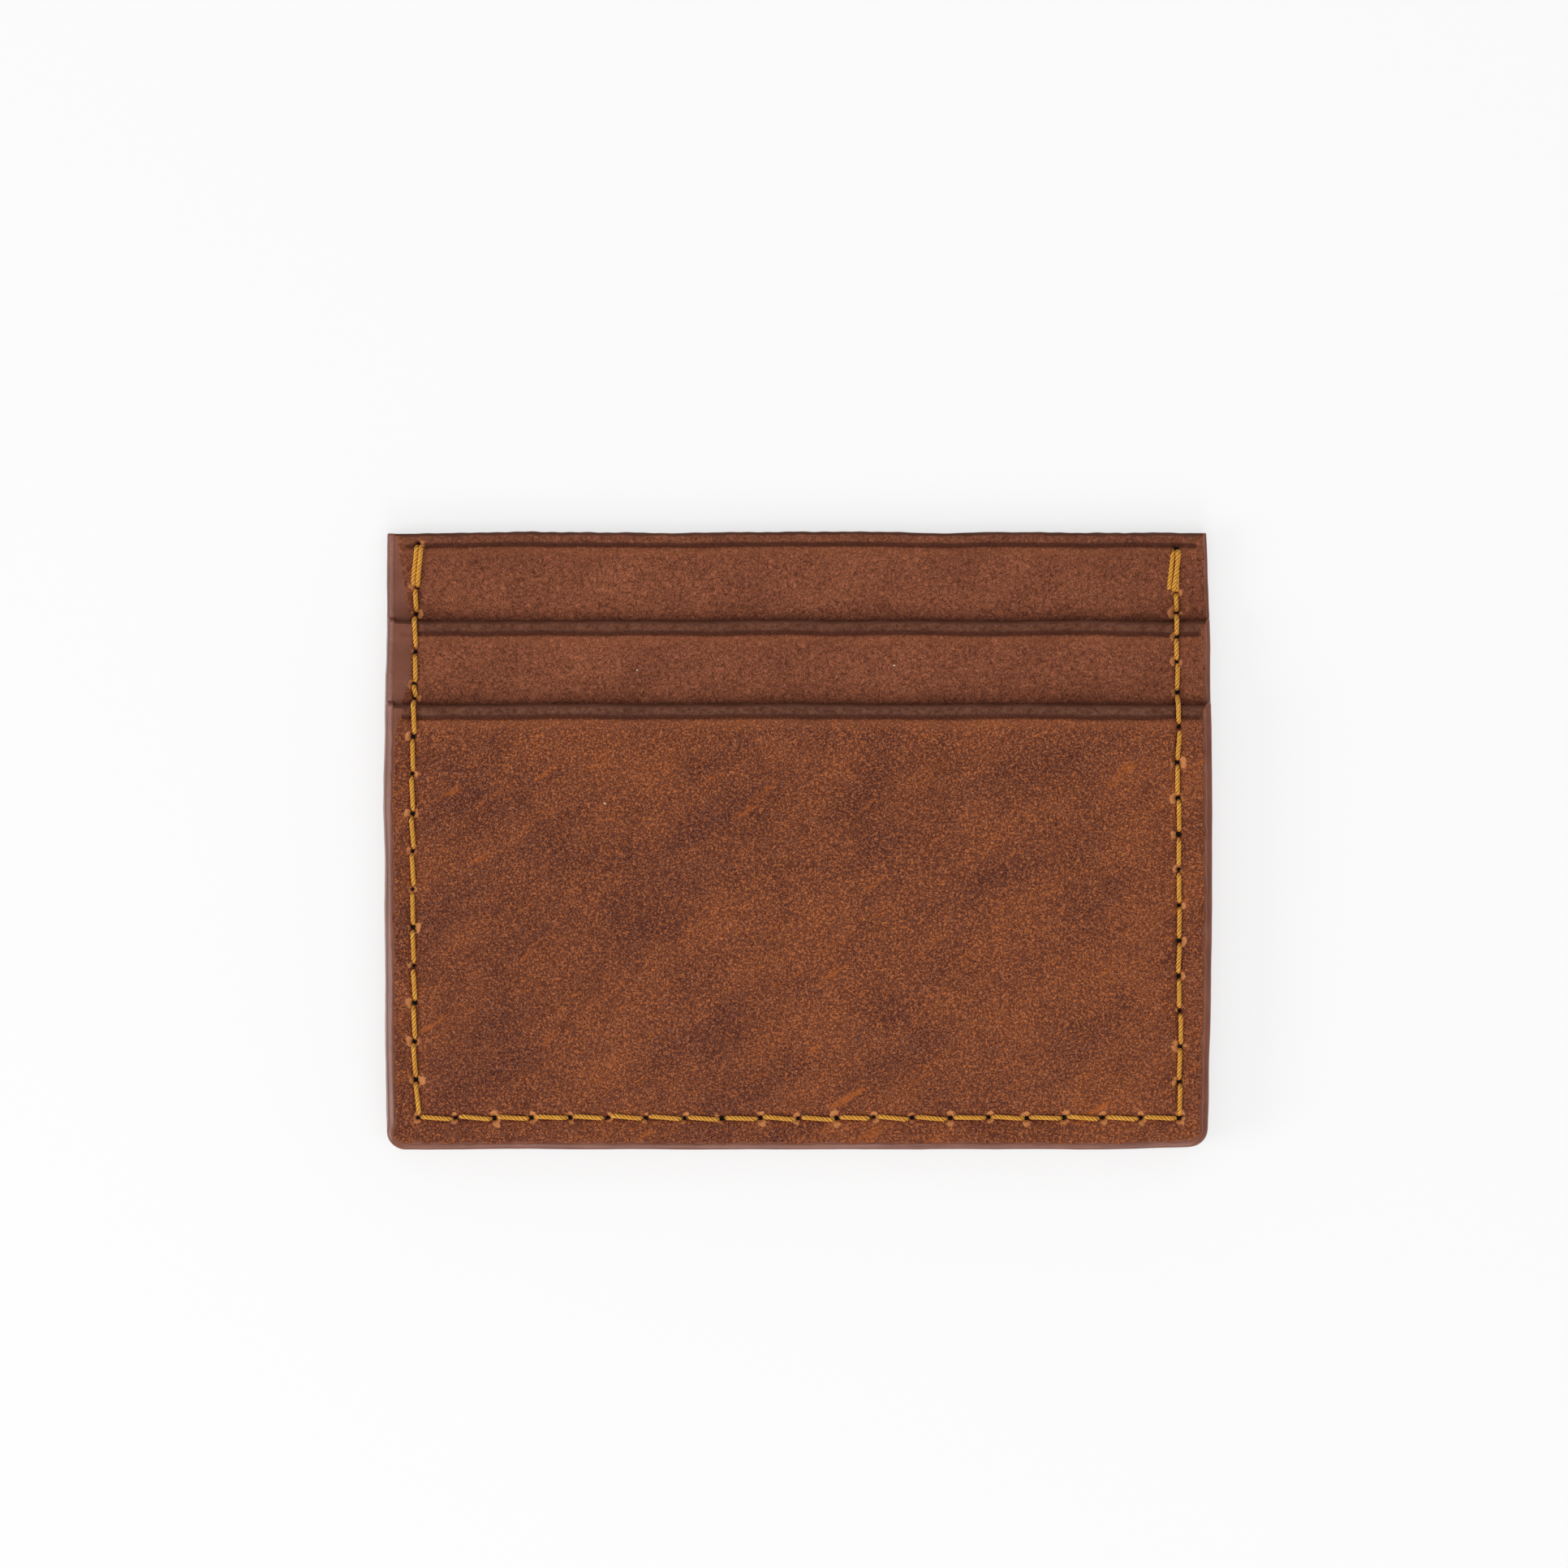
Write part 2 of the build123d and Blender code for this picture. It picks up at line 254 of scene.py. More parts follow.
def hole_distance(x, y):
    """Distance to the nearest hole as a share of its size, the direction from it, and the wear there."""
    best = np.full(len(x), 1e9)
    angle = np.zeros(len(x))
    wear = np.zeros(len(x))
    for (hx, hy), size, worn in zip(HOLES, HOLE_SIZE, HOLE_WEAR):
        d = np.hypot(x - hx, y - hy) / size
        near = d < best
        best = np.where(near, d, best)
        angle = np.where(near, np.arctan2(y - hy, x - hx), angle)
        wear = np.where(near, worn, wear)
    return best, angle, np.abs(wear) * (1 + 0.55 * np.sign(wear) * np.cos(angle))


# ---- The front face as a height field ----
CROWN = 0.28  # how far a panel swells inside its seam
SAG = 0.3  # how far a pocket's mouth relaxes inwards
SEAM_REACH = 14  # seam to where the leather swells freely
PAINT_BED = 0.05  # how far the leather is sunk under the rim's paint
CREASE_DEPTH = 0.16
BAND_DEPTH = 0.06  # of the strip between crease and mouth
LIP_ROUND = 0.35
PIT_DEPTH = 0.8  # of a stitch hole
LEAST_LEATHER = 0.1  # left under a pit


def body_height(layer, x, y):
    """How far a panel swells or sags from flat. The mouths of the two pockets relax inwards."""
    points = np.column_stack((x, y))
    from_side = np.minimum(x - LEFT_X, RIGHT_X - x)
    from_mouth = LAYERS[layer][2] - y
    inside = smooth(from_side, 0, SEAM_REACH) * smooth(y - SEAM_Y, 0, SEAM_REACH)
    waves = 0.07 * ripple(points, 41, 45, 14) + 0.02 * ripple(points, 42, 9, 4)
    h = inside * (CROWN * smooth(from_mouth, -2, 22) + waves)
    if layer != "front_panel":
        h -= SAG * smooth(from_side, 0, 16) * (1 - smooth(from_mouth, 0, 16))
    return h


def below_crease(layer, x, y):
    """How far below the line pressed along a mouth a point lies."""
    mouth = LAYERS[layer][2]
    return mouth_edge(x, mouth) - y - CREASE_DROP + 0.05 * ripple_1d(x, 51 + int(mouth), 25, 5)


def crease_reach(x, y, left, right):
    """1 along the crease's length, easing to 0 over these spans in from the two sides."""
    return smooth(x - left_edge(y), *left) * smooth(right_edge(y) - x, *right)


def front_height(layer, x, y, detail=True):
    """Height of a panel's front face."""
    top, mouth = LAYERS[layer][1:]
    seam = seam_distance(x, y)
    h = body_height(layer, x, y) - 0.2 * np.exp(-((seam / 1.25) ** 2))
    if detail:
        crease = below_crease(layer, x, y)
        reach = crease_reach(x, y, (1.6, 2.3), (1.0, 1.6))
        h -= CREASE_DEPTH * reach * np.exp(-((crease / 0.3) ** 2))
        h -= BAND_DEPTH * reach * smooth(-crease, -0.1, 0.4)
        from_mouth = mouth_edge(x, mouth) - y
        h -= 0.3 * quarter_round(np.clip(1 - from_mouth / LIP_ROUND, 0, 1))
        hole = hole_distance(x, y)[0]
        h -= 0.2 * np.exp(-((seam / 0.36) ** 2))  # the groove the thread has pressed
        h += 0.07 * np.exp(-(((hole - 0.75) / 0.2) ** 2))  # leather pushed up round a hole
        h -= PIT_DEPTH * np.exp(-((hole / 0.35) ** 2.6))
        h = np.maximum(h, body_height(layer, x, y) + LEAST_LEATHER - (top - LAYERS[layer][0]))
    rim = rim_distance(x, y)
    return top + h - rim_drop(x, y, rim) - PAINT_BED * smooth(-rim, -1.2, -0.6)


def stack_height(x, y):
    """Height of whichever panel is outermost at a point, without its fine detail."""
    z = front_height("front_panel", x, y, False)
    for layer in ("upper_pocket", "front_pocket"):
        z = np.where(y < LAYERS[layer][2], front_height(layer, x, y, False), z)
    return z


def paint_height(x, y):
    """The painted rim's front face: the panels' own, with the step at each mouth filled to a ramp."""
    z = front_height("front_panel", x, y, False)
    below = z
    for layer in ("upper_pocket", "front_pocket"):
        mouth = LAYERS[layer][2]
        here = front_height(layer, x, y, False)
        z = z + (here - below) * (1 - smooth(y, mouth - 0.15, mouth + 0.4))
        below = here
    return z


def back_height(x, y):
    """The back panel's outer face, which lies on the table."""
    seam = seam_distance(x, y)
    hole = hole_distance(x, y)[0]
    rim = rim_distance(x, y)
    points = np.column_stack((x, y))
    h = 0.04 + 0.03 * ripple(points, 71, 40, 10) + 0.12 * np.exp(-((seam / 1.1) ** 2))
    h += 0.42 * np.exp(-((seam / 0.42) ** 4)) + 0.2 * np.exp(-((hole / 0.3) ** 2))
    return h + 0.5 * quarter_round(np.clip(1 - rim, 0, 1)) + PAINT_BED * smooth(-rim, -1.2, -0.6)


# ---- Mesh making ----
def make_piece(name, points, faces, node, materials, face_materials=None, attributes=None):
    """A mesh piece that rides on the frame in a CAD node's place. Points are in millimetres."""
    mesh = bpy.data.meshes.new(name)
    mesh.from_pydata((np.asarray(points) * MM).tolist(), [], faces)
    for material in materials:
        mesh.materials.append(material)
    if face_materials is not None:
        mesh.polygons.foreach_set("material_index", np.asarray(face_materials, np.int32))
    mesh.polygons.foreach_set("use_smooth", np.ones(len(faces), bool))
    for key, values in (attributes or {}).items():
        attribute = mesh.attributes.new(key, "FLOAT", "POINT")
        attribute.data.foreach_set("value", np.asarray(values, np.float32))
    mesh.update()
    mesh.validate()
    piece = bpy.data.objects.new(name, mesh)
    bpy.context.scene.collection.objects.link(piece)
    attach(piece, "root")
    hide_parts(node)


def lines(*spans):
    """Grid lines from (start, end, spacing) spans laid end to end."""
    out = [spans[0][0]]
    for start, end, step in spans:
        count = max(1, round((end - start) / step))
        out += list(np.linspace(start, end, count + 1)[1:])
    return np.array(out)


FINE = 5  # subdivisions of a grid cell on the seam
GRID = 0.8  # side of a cell away from seam and rim
SEAM_HALF_WIDTH = 1.0  # cells nearer the seam than this are cut fine


def sheet(xs, ys, refine):
    """A sheet of cells, of which refine picks the ones cut FINE times each way. Returns its points,
    its faces, each coarse corner's index, and a finder of the fine points between two corners."""
    nx, ny = len(xs) - 1, len(ys) - 1
    cx, cy = (xs[:-1] + xs[1:]) / 2, (ys[:-1] + ys[1:]) / 2
    gx, gy = np.meshgrid(cx, cy, indexing="ij")
    marked = refine(gx.ravel(), gy.ravel()).reshape(nx, ny)
    index, coords, faces = {}, [], []

    def vertex(a, b):
        key = (a, b)
        if key not in index:
            index[key] = len(coords)
            i, fa = divmod(a, FINE)
            j, fb = divmod(b, FINE)
            x = xs[i] + (xs[i + 1] - xs[i]) * fa / FINE if fa else xs[i]
            y = ys[j] + (ys[j + 1] - ys[j]) * fb / FINE if fb else ys[j]
            coords.append((x, y))
        return index[key]

    def is_fine(i, j):
        return 0 <= i < nx and 0 <= j < ny and marked[i, j]

    for i in range(nx):
        for j in range(ny):
            a0, b0, a1, b1 = i * FINE, j * FINE, (i + 1) * FINE, (j + 1) * FINE
            if marked[i, j]:
                for a in range(a0, a1):
                    for b in range(b0, b1):
                        around = (a, b), (a + 1, b), (a + 1, b + 1), (a, b + 1)
                        faces.append(tuple(vertex(*place) for place in around))
                continue
            ring = []
            square = (a0, b0), (a1, b0), (a1, b1), (a0, b1)
            for (a, b), (right, up) in zip(square, ((1, 0), (0, 1), (-1, 0), (0, -1))):
                steps = FINE if is_fine(i + up, j - right) else 1  # by the cell beyond that side
                ring += [vertex(a + right * s, b + up * s) for s in range(steps)]
            faces.append(tuple(ring))
    corners = np.array([[vertex(i * FINE, j * FINE) for j in range(ny + 1)] for i in range(nx + 1)])

    def between(i, j, k, m):
        keys = [(i * FINE + (k - i) * s, j * FINE + (m - j) * s) for s in range(1, FINE)]
        return [index[key] for key in keys if key in index]

    return np.array(coords), faces, corners, between


def fit_outline(coords, mouth):
    """Moves a sheet's nominal points onto the holder's uneven outline, inside the paint."""
    x, y = coords.T
    nominal = HALF_WIDTH - PAINT
    low = BOTTOM + PAINT
    share = (y - low) / (mouth - low)
    y = bottom_edge(x) + PAINT + share * (mouth_edge(x, mouth) - LIP_PAINT - bottom_edge(x) - PAINT)
    radius = CORNER - PAINT
    up = np.clip(radius - (y - bottom_edge(x) - PAINT), 0, radius)
    round_in = radius - np.sqrt(np.maximum(radius**2 - up**2, 0))
    ease = nominal - 8, nominal
    left_in = (left_edge(y) + PAINT + round_in + nominal) * smooth(-x, *ease)
    right_in = (right_edge(y) - PAINT - round_in - nominal) * smooth(x, *ease)
    return x + left_in + right_in, y


def seam_cells(x, y):
    """Whether points lie on the seam."""
    return seam_distance(x, y) < SEAM_HALF_WIDTH


def next_lip_shade_and_wax(layer, x, y):
    """Painted shade in front of the next panel's lip, where that lip's shadow falls, together with the wax
    and dirt that gather there.
    """
    lips = {"front_panel": UPPER_MOUTH, "upper_pocket": POCKET_MOUTH}
    if layer not in lips:
        return np.zeros(len(x))
    return np.exp(-np.maximum(y - mouth_edge(x, lips[layer]), 0) / 0.7)


def leather_attributes(layer, x, y):
    """What the leather's material needs to know at each point."""
    hole, angle, wear = hole_distance(x, y)
    seam = seam_distance(x, y)
    across = np.where(y < SEAM_Y + 1.5, -1, 1)  # the wear spreads across the seam
    lobes = 0.5 + 0.5 * np.cos(2 * angle) * across + 0.6 * ripple(np.column_stack((x, y)), 61, 2.0, 0.5)
    crease = below_crease(layer, x, y)
    reach = crease_reach(x, y, (1.8, 2.6), (0.9, 1.6))
    return {
        "paint": rim_lap(x, y) - rim_distance(x, y),
        "scuff": np.clip(wear * np.exp(-((hole / 0.84) ** 4)) * (0.2 + 1.1 * lobes), 0, 1),
        # painted shade inside each stitch hole
        "pit": np.clip(np.exp(-((hole / 0.33) ** 3)), 0, 1),
        # painted shade in the groove that the thread presses into the seam
        "groove": np.exp(-((seam / 0.4) ** 2)),
        "crease": reach * np.exp(-((crease / 0.36) ** 2)),
        "band": reach * smooth(-crease, -0.05, 0.25),
        "below": reach * np.exp(-(((crease - 0.75) / 0.6) ** 2)) * (crease > 0),
        # painted shade with wax stain in front of the next panel's lip
        "shade": next_lip_shade_and_wax(layer, x, y),
    }


# ---- Materials ----
LEATHER_HAZE = 0.013  # pale light that the surface adds to every colour
PAINT_HAZE = 0.038
THREAD_HAZE = 0.016
LEATHER_SHINE = 0.2


def rgb(red, green, blue, haze=LEATHER_HAZE):
    """The base colour that looks like these screen values of 0 to 255 under the studio light."""
    def linear(value):
        value /= 255
        value = value / 12.92 if value <= 0.04045 else ((value + 0.055) / 1.055) ** 2.4
        return max(value - haze, 0.0025)

    return (linear(red), linear(green), linear(blue), 1)


class Graph:
    """A procedural material, built node by node."""

    def __init__(self, name):
        self.material = bpy.data.materials.new(name)
        self.material.use_nodes = True
        self.tree = self.material.node_tree
        self.bsdf = self.tree.nodes["Principled BSDF"]
        where = self.put("ShaderNodeTexCoord").outputs["Object"]
        self.place = self.vector("SCALE", where, Scale=1 / MM)

    def put(self, kind, sockets=(), **settings):
        """A node with these settings, and these values in its input sockets, by number or by name."""
        node = self.tree.nodes.new(kind)
        for key, value in settings.items():
            setattr(node, key, value)
        for key, value in dict(sockets).items():
            self.wire(node.inputs[key], value)
        return node

    def wire(self, socket, value):
        if isinstance(value, bpy.types.NodeSocket):
            self.tree.links.new(value, socket)
        else:
            socket.default_value = value

    def math(self, operation, *values):
        return self.put("ShaderNodeMath", enumerate(values), operation=operation).outputs[0]

    def add(self, *values):
        return reduce(partial(self.math, "ADD"), values)

    def times(self, *values):
        return reduce(partial(self.math, "MULTIPLY"), values)

    def vector(self, operation, *values, **named):
        sockets = {**dict(enumerate(values)), **named}
        return self.put("ShaderNodeVectorMath", sockets, operation=operation).outputs[0]

    def noise(self, where, scale, detail=2.0, roughness=0.5, distortion=0.0, output="Fac"):
        sockets = {"Vector": where, "Scale": scale, "Detail": detail}
        sockets |= {"Roughness": roughness, "Distortion": distortion}
        return self.put("ShaderNodeTexNoise", sockets).outputs[output]

    def cells(self, where, scale, feature="SMOOTH_F1"):
        sockets = {"Vector": where, "Scale": scale}
        return self.put("ShaderNodeTexVoronoi", sockets, feature=feature).outputs["Distance"]

    def step(self, value, low, high, to_low=0.0, to_high=1.0):
        sockets = enumerate((value, low, high, to_low, to_high))
        return self.put("ShaderNodeMapRange", sockets, interpolation_type="SMOOTHSTEP").outputs[0]

    def mix(self, share, first, second):
        node = self.put("ShaderNodeMix", {"Factor": share}, data_type="RGBA")
        colours = [socket for socket in node.inputs if socket.type == "RGBA"]
        self.wire(colours[0], first)
        self.wire(colours[1], second)
        return [socket for socket in node.outputs if socket.type == "RGBA"][0]

    def attribute(self, name):
        return self.put("ShaderNodeAttribute", attribute_name=name).outputs["Fac"]

    def turned(self, where, angle, stretch):
        """Coordinates turned about Z, then scaled along the turned axes."""
        turn, scale = (0, 0, math.radians(angle)), [1 / share for share in stretch]
        sockets = {"Vector": where, "Rotation": turn, "Scale": scale}
        return self.put("ShaderNodeMapping", sockets, vector_type="TEXTURE").outputs[0]

    def warped(self, scale, amount):
        """The place, pushed about by noise."""
        push = self.vector("SUBTRACT", self.noise(self.place, scale, 1, output="Color"), (0.5, 0.5, 0.5))
        return self.vector("ADD", self.place, self.vector("SCALE", push, Scale=amount))

    def bump(self, height, distance):
        """Distance is the relief's depth in millimetres for a height of 1."""
        sockets = {"Strength": 1.0, "Distance": distance * MM, "Height": height}
        return self.put("ShaderNodeBump", sockets).outputs[0]

    def finish(self, **inputs):
        for key, value in inputs.items():
            self.wire(self.bsdf.inputs[key.replace("_", " ")], value)
        return self.material


def paint_colour(g, tone, haze):
    """Edge paint: mauve brown, with faint drawn-out streaks."""
    drift = g.noise(g.place, 0.25, 2)
    fine = g.noise(g.place, 3.0, 3, 0.6)
    dull = rgb(120 * tone, 75 * tone, 60 * tone, haze)
    colour = g.mix(g.step(drift, 0.3, 0.7), dull, rgb(135 * tone, 87 * tone, 71 * tone, haze))
    return g.mix(g.times(fine, 0.25), colour, rgb(104 * tone, 66 * tone, 53 * tone, haze))


def pebbled_grain(g, rubbed, patch, fine):
    """Full grain of small pebbles, with drawn-out rub marks. Returns its colour, relief and depth."""
    where = g.warped(2.6, 0.36)
    raised = g.step(g.cells(where, 3.5), 0.6, 0.1)
    speck = g.noise(where, 5.7, 2, 0.62, 0.3)
    fleck = g.step(g.add(speck, g.times(raised, 0.14), g.times(rubbed, 0.03)), 0.575, 0.71)
    pore = g.step(g.add(speck, g.times(raised, 0.2)), 0.56, 0.4)
    relief = g.add(g.times(raised, 0.55), g.times(speck, 1.1), g.times(fine, 0.3))
    waxy = g.step(g.add(g.times(fine, 0.6), g.times(patch, 0.3)), 0.3, 0.62)
    base = g.mix(waxy, rgb(91, 49, 36), rgb(114, 65, 50))
    base = g.mix(g.times(pore, 0.92), base, rgb(62, 27, 14))
    colour = g.mix(g.times(fleck, g.step(rubbed, 0, 1, 0.7, 0.95)), base, rgb(192, 114, 68))
    # painted highlight: pale grey specks in the colour stand in for glints of light off the grain
    painted_glint = g.step(g.noise(g.place, 4.8, 2, 0.6), 0.53, 0.7)
    colour = g.mix(g.times(painted_glint, 0.32), colour, rgb(166, 130, 118))
    colour = g.mix(g.times(rubbed, 0.16), colour, rgb(172, 92, 42))
    mark = g.noise(g.turned(g.place, 34, (0.11, 0.5, 1)), 1.0, 3, 0.6)
    mark = g.step(g.add(mark, g.times(fine, 0.12)), 0.67, 0.82)
    return g.mix(g.times(mark, 0.55), colour, rgb(192, 104, 44)), relief, 0.1


def fibrous_grain(g, rubbed, patch, fine):
    """A smoother grain crossed by fine pale fibres. Returns its colour, relief and depth."""
    where = g.warped(1.4, 0.8)
    strand = g.math("ABSOLUTE", g.math("SUBTRACT", g.noise(where, 2.6, 3, 0.62, 0.9), 0.5))
    thin = g.math("ABSOLUTE", g.math("SUBTRACT", g.noise(where, 4.0, 2, 0.6, 0.7), 0.48))
    fibre = g.math("MAXIMUM", g.step(strand, 0.075, 0.01), g.times(g.step(thin, 0.07, 0.01), 0.8))
    pore = g.step(g.noise(where, 3.7, 2, 0.6, 0.4), 0.5, 0.38)
    relief = g.add(g.times(fibre, 0.6), g.times(fine, 0.8))
    waxy = g.step(g.add(g.times(fine, 0.6), g.times(patch, 0.4)), 0.32, 0.68)
    base = g.mix(waxy, rgb(85, 45, 33), rgb(108, 61, 45))
    base = g.mix(g.times(pore, 0.6), base, rgb(64, 30, 19))
    colour = g.mix(g.times(fibre, g.step(rubbed, 0, 1, 0.6, 0.9)), base, rgb(186, 114, 84))
    tangle = g.noise(where, 2.1, 4, 0.72, 0.6)
    colour = g.mix(g.times(g.step(tangle, 0.5, 0.66), 0.6), colour, rgb(160, 93, 61))
    return g.mix(g.times(g.step(tangle, 0.5, 0.34), 0.6), colour, rgb(84, 43, 28)), relief, 0.07


def leather_material(name, grain, band_share):
    """Waxed pull-up leather: dark wax over an orange-brown hide that shows where it is rubbed or bent.
    Band_share is how dark the strip along the mouth is."""
    g = Graph(name)
    wide = g.noise(g.place, 0.035, 2)
    patch = g.noise(g.place, 0.16, 3, 0.55)
    streak = g.noise(g.turned(g.place, 36, (0.05, 0.2, 1)), 1.0, 3, 0.5)
    rubbed = g.add(g.times(wide, 0.35), g.times(patch, 0.65), g.times(streak, 1.0))
    rubbed = g.step(rubbed, 0.6, 1.4)
    fine = g.noise(g.place, 8.0, 2, 0.6)
    colour, relief, depth = grain(g, rubbed, patch, fine)
    colour = g.mix(g.times(rubbed, 0.1), colour, rgb(158, 92, 54))
    colour = g.mix(g.times(g.step(wide, 0.5, 0.25), 0.12), colour, rgb(88, 50, 40))

    # the pressed strip and its crease; painted shade with wax stain in front of the next lip, and painted
    # shade along the thread's groove in the seam
    ragged = g.times(g.math("SUBTRACT", g.noise(g.place, 2.0, 3, 0.6), 0.5), 0.5)
    band = g.times(g.attribute("band"), band_share)
    worn = g.step(g.noise(g.place, 1.5, 4, 0.7), 0.32, 0.68)
    colour = g.mix(band, colour, g.mix(worn, rgb(74, 45, 36), rgb(112, 76, 61)))
    colour = g.mix(g.times(g.attribute("below"), 0.3), colour, rgb(156, 92, 60))
    crease = g.step(g.add(g.attribute("crease"), g.times(ragged, 0.7)), 0.1, 0.85)
    colour = g.mix(g.times(crease, 0.8), colour, rgb(74, 42, 34))
    # painted shade: darker just in front of the next panel's lip, where its shadow falls, mixed with the
    # wax stain there
    colour = g.mix(g.times(g.attribute("shade"), 0.6), colour, rgb(62, 30, 18))
    # painted shade: darker along the groove that the thread presses into the seam
    colour = g.mix(g.times(g.attribute("groove"), 0.45), colour, rgb(66, 32, 19))

    # raw hide round the stitch holes, painted shade in the holes' insides, and the paint lapping the rim
    scuff = g.step(g.add(g.attribute("scuff"), g.times(ragged, 1.4)), 0.28, 0.62)
    colour = g.mix(g.times(scuff, 0.78), colour, g.mix(fine, rgb(196, 112, 58), rgb(236, 170, 112)))
    # painted shade: near black inside each stitch hole
    colour = g.mix(g.step(g.attribute("pit"), 0.2, 0.75), colour, rgb(18, 8, 4))
    painted = g.step(g.add(g.attribute("paint"), g.times(ragged, 0.7)), -0.14, 0.14)
    colour = g.mix(painted, colour, paint_colour(g, 1.0, LEATHER_HAZE))
    grainy = g.math("SUBTRACT", 1.0, g.math("MAXIMUM", g.times(painted, 0.85), g.times(band, 0.5)))

    dust = g.cells(g.place, 0.1, "F1")
    colour = g.mix(g.step(dust, 0.013, 0.008), colour, rgb(216, 206, 196))
    rough = g.add(0.48, g.times(fine, 0.16), g.times(grainy, 0.12))
    normal = g.bump(g.times(relief, grainy), depth)
    return g.finish(Base_Color=colour, Roughness=rough, Specular_IOR_Level=LEATHER_SHINE, Normal=normal)


def flesh_material():
    """The rough inner side of the leather."""
    g = Graph("flesh_side")
    nap = g.noise(g.warped(1.0, 0.6), 5.0, 4, 0.7)
    patch = g.noise(g.place, 0.3, 3)
    colour = g.mix(nap, rgb(112, 72, 48), rgb(160, 112, 78))
    colour = g.mix(g.times(patch, 0.4), colour, rgb(120, 76, 50))
    shine = {"Specular_IOR_Level": LEATHER_SHINE, "Sheen_Weight": 0.2}
    return g.finish(Base_Color=colour, Roughness=0.92, Normal=g.bump(nap, 0.09), **shine)


def board_material():
    """Bonded leather of the filler strips: short fibres pressed flat."""
    g = Graph("filler_board")
    fibre = g.noise(g.turned(g.warped(0.8, 1.2), 20, (1, 0.35, 1)), 4.0, 4, 0.7)
    fleck = g.cells(g.place, 2.2, "F1")
    colour = g.mix(g.step(fibre, 0.3, 0.7), rgb(112, 76, 50), rgb(148, 106, 74))
    colour = g.mix(g.step(fleck, 0.2, 0.05), colour, rgb(84, 54, 36))
    return g.finish(Base_Color=colour, Roughness=0.88, Specular_IOR_Level=0.25, Normal=g.bump(fibre, 0.06))


def paint_material(name, tone, roughness, shine, haze):
    """Dried paint, smooth but for brush lines and small pocks."""
    g = Graph(name)
    drawn = g.noise(g.place, 1.3, 3, 0.55)
    pocks = g.noise(g.place, 5.5, 2, 0.5)
    relief = g.add(g.times(drawn, 0.7), g.times(pocks, 0.3))
    rough = g.add(roughness, g.times(pocks, 0.12))
    colour, normal = paint_colour(g, tone, haze), g.bump(relief, 0.04)
    return g.finish(Base_Color=colour, Roughness=rough, Specular_IOR_Level=shine, Normal=normal)


def thread_material():
    """Bonded three-ply thread. Each ply is a bundle of fine filaments."""
    g = Graph("thread")
    along, around = g.times(g.attribute("along"), 0.9), g.times(g.attribute("around"), 9.0)
    spot = g.put("ShaderNodeCombineXYZ", enumerate((along, around, g.attribute("ply"))))
    filament = g.noise(spot.outputs[0], 1.0, 3, 0.6)
    worn = g.noise(g.place, 0.5, 2)
    deep, bright = rgb(202, 130, 26, THREAD_HAZE), rgb(252, 190, 74, THREAD_HAZE)
    colour = g.mix(g.step(filament, 0.32, 0.68), deep, bright)
    colour = g.mix(g.times(worn, 0.25), colour, rgb(212, 144, 44, THREAD_HAZE))
    # painted shade on the side of each ply that faces into the twist, where the plies shade one another
    colour = g.mix(g.attribute("valley_shade"), colour, rgb(96, 50, 10, THREAD_HAZE))
    shine = {"Specular_IOR_Level": 0.45, "Sheen_Weight": 0.1}
    return g.finish(Base_Color=colour, Roughness=0.5, Normal=g.bump(filament, 0.03), **shine)


POCKET_LEATHER = leather_material("pocket_leather", pebbled_grain, 0.88)
UPPER_LEATHER = leather_material("upper_leather", fibrous_grain, 0.75)
TOP_LEATHER = leather_material("top_leather", fibrous_grain, 0.3)
BACK_LEATHER = leather_material("back_leather", pebbled_grain, 0.0)
FLESH = flesh_material()
BOARD = board_material()
EDGE_PAINT = paint_material("edge_paint", 1.0, 0.26, 0.6, PAINT_HAZE)
MOUTH_PAINT = paint_material("mouth_paint", 0.72, 0.6, 0.15, LEATHER_HAZE)
THREAD = thread_material()


# ---- Leather panels ----
def panel(name, ys, refine, face, under, face_is_front, material):
    """A panel with a detailed face, a plainer inner side, and walls between them. Face and under give
    heights at points."""
    coords, faces, corners, between = sheet(rim_columns(), ys, refine)
    x, y = fit_outline(coords, LAYERS[name][2])
    points = np.column_stack((x, y, face(x, y)))
    flat = corners.ravel()
    inner = np.column_stack((x[flat], y[flat], under(x[flat], y[flat])))
    inner_id = (len(points) + np.arange(len(flat))).reshape(corners.shape)
    nx, ny = corners.shape
    loop = [(i, 0) for i in range(nx - 1)] + [(nx - 1, j) for j in range(ny - 1)]
    loop += [(i, ny - 1) for i in range(nx - 1, 0, -1)] + [(0, j) for j in range(ny - 1, 0, -1)]
    inner_faces = [
        (inner_id[i, j], inner_id[i, j + 1], inner_id[i + 1, j + 1], inner_id[i + 1, j])
        for i in range(nx - 1)
        for j in range(ny - 1)
    ]
    walls = []
    for (i, j), (k, m) in zip(loop, loop[1:] + loop[:1]):
        fine = between(i, j, k, m)
        walls.append((inner_id[i, j], inner_id[k, m], corners[k, m], *reversed(fine), corners[i, j]))
    every = faces + walls + inner_faces
    if not face_is_front:
        every = [tuple(reversed(item)) for item in every]
    every = [tuple(int(v) for v in item) for item in every]
    everything = np.vstack((points, inner))
    kinds = [0] * (len(faces) + len(walls)) + [1] * len(inner_faces)
    data = leather_attributes(name, everything[:, 0], everything[:, 1])
    make_piece(name + "_leather", everything, every, name, [material, FLESH], kinds, data)


def rim_columns():
    """Grid columns, close at the rims."""
    edge, rim = HALF_WIDTH - PAINT, HALF_WIDTH - PAINT - 2
    return lines((-edge, -rim, 0.25), (-rim, rim, GRID), (rim, edge, 0.25))


